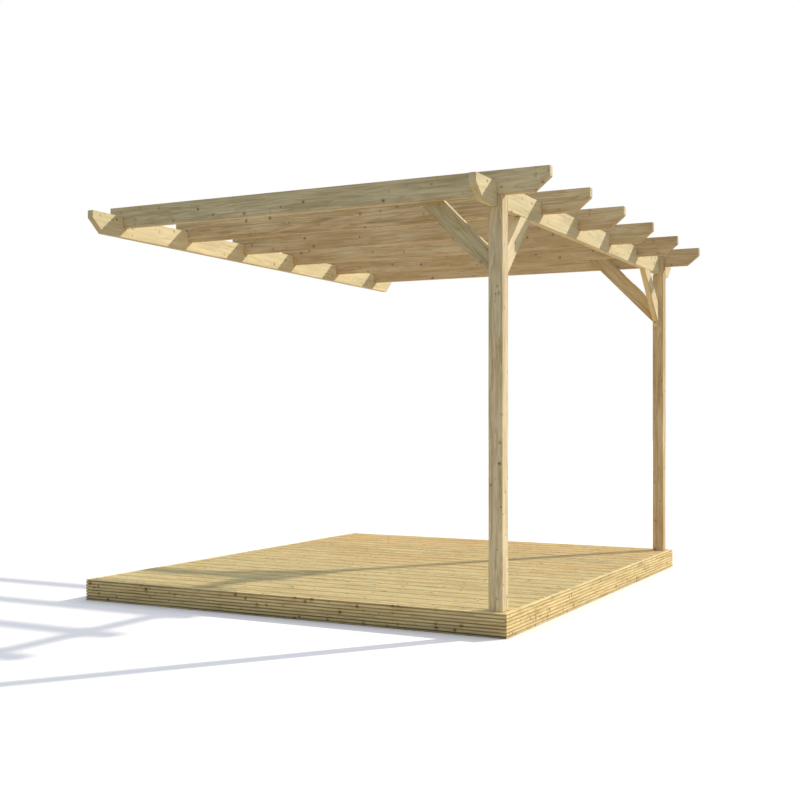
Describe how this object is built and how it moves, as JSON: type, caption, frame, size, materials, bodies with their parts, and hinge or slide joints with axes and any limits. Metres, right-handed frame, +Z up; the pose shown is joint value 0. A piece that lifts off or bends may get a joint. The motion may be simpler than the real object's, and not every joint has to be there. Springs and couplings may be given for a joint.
{
  "type": "wall-mounted pergola",
  "caption": "Lean-to garden pergola on a reeded timber deck: notched posts, sculpted beams and half-lapped rafters with knee braces, open roof, wall side without posts.",
  "frame": {"origin": "on the ground under the middle of the whole outline", "axes": "+X from the house wall outwards, +Y along the wall from the front of the picture to the back, +Z up"},
  "size_m": [3.445, 4.31, 2.76],
  "materials": {
    "frame_timber": "planed pressure-treated pine, matt",
    "deck_timber": "reeded pressure-treated decking, matt",
    "fascia_timber": "reeded pressure-treated decking on edge, matt",
    "under_timber": "sawn pressure-treated joists, matt"
  },
  "bodies": {
    "root": {"wall_beam": "frame_timber", "outer_beam": "frame_timber", "rafter_1": "frame_timber", "rafter_2": "frame_timber", "rafter_3": "frame_timber", "rafter_4": "frame_timber", "rafter_5": "frame_timber", "rafter_6": "frame_timber", "post_front": "frame_timber", "post_back": "frame_timber", "rafter_brace_front": "frame_timber", "rafter_brace_back": "frame_timber", "beam_brace_front": "frame_timber", "beam_brace_back": "frame_timber", "deck_boards_1": "deck_timber", "deck_boards_2": "deck_timber", "deck_boards_3": "deck_timber", "deck_boards_4": "deck_timber", "deck_boards_5": "deck_timber", "fascia_front": "fascia_timber", "fascia_back": "fascia_timber", "fascia_outer": "fascia_timber", "fascia_wall": "fascia_timber", "rim_front": "under_timber", "rim_back": "under_timber", "joists": "under_timber"}
  },
  "joints": []
}
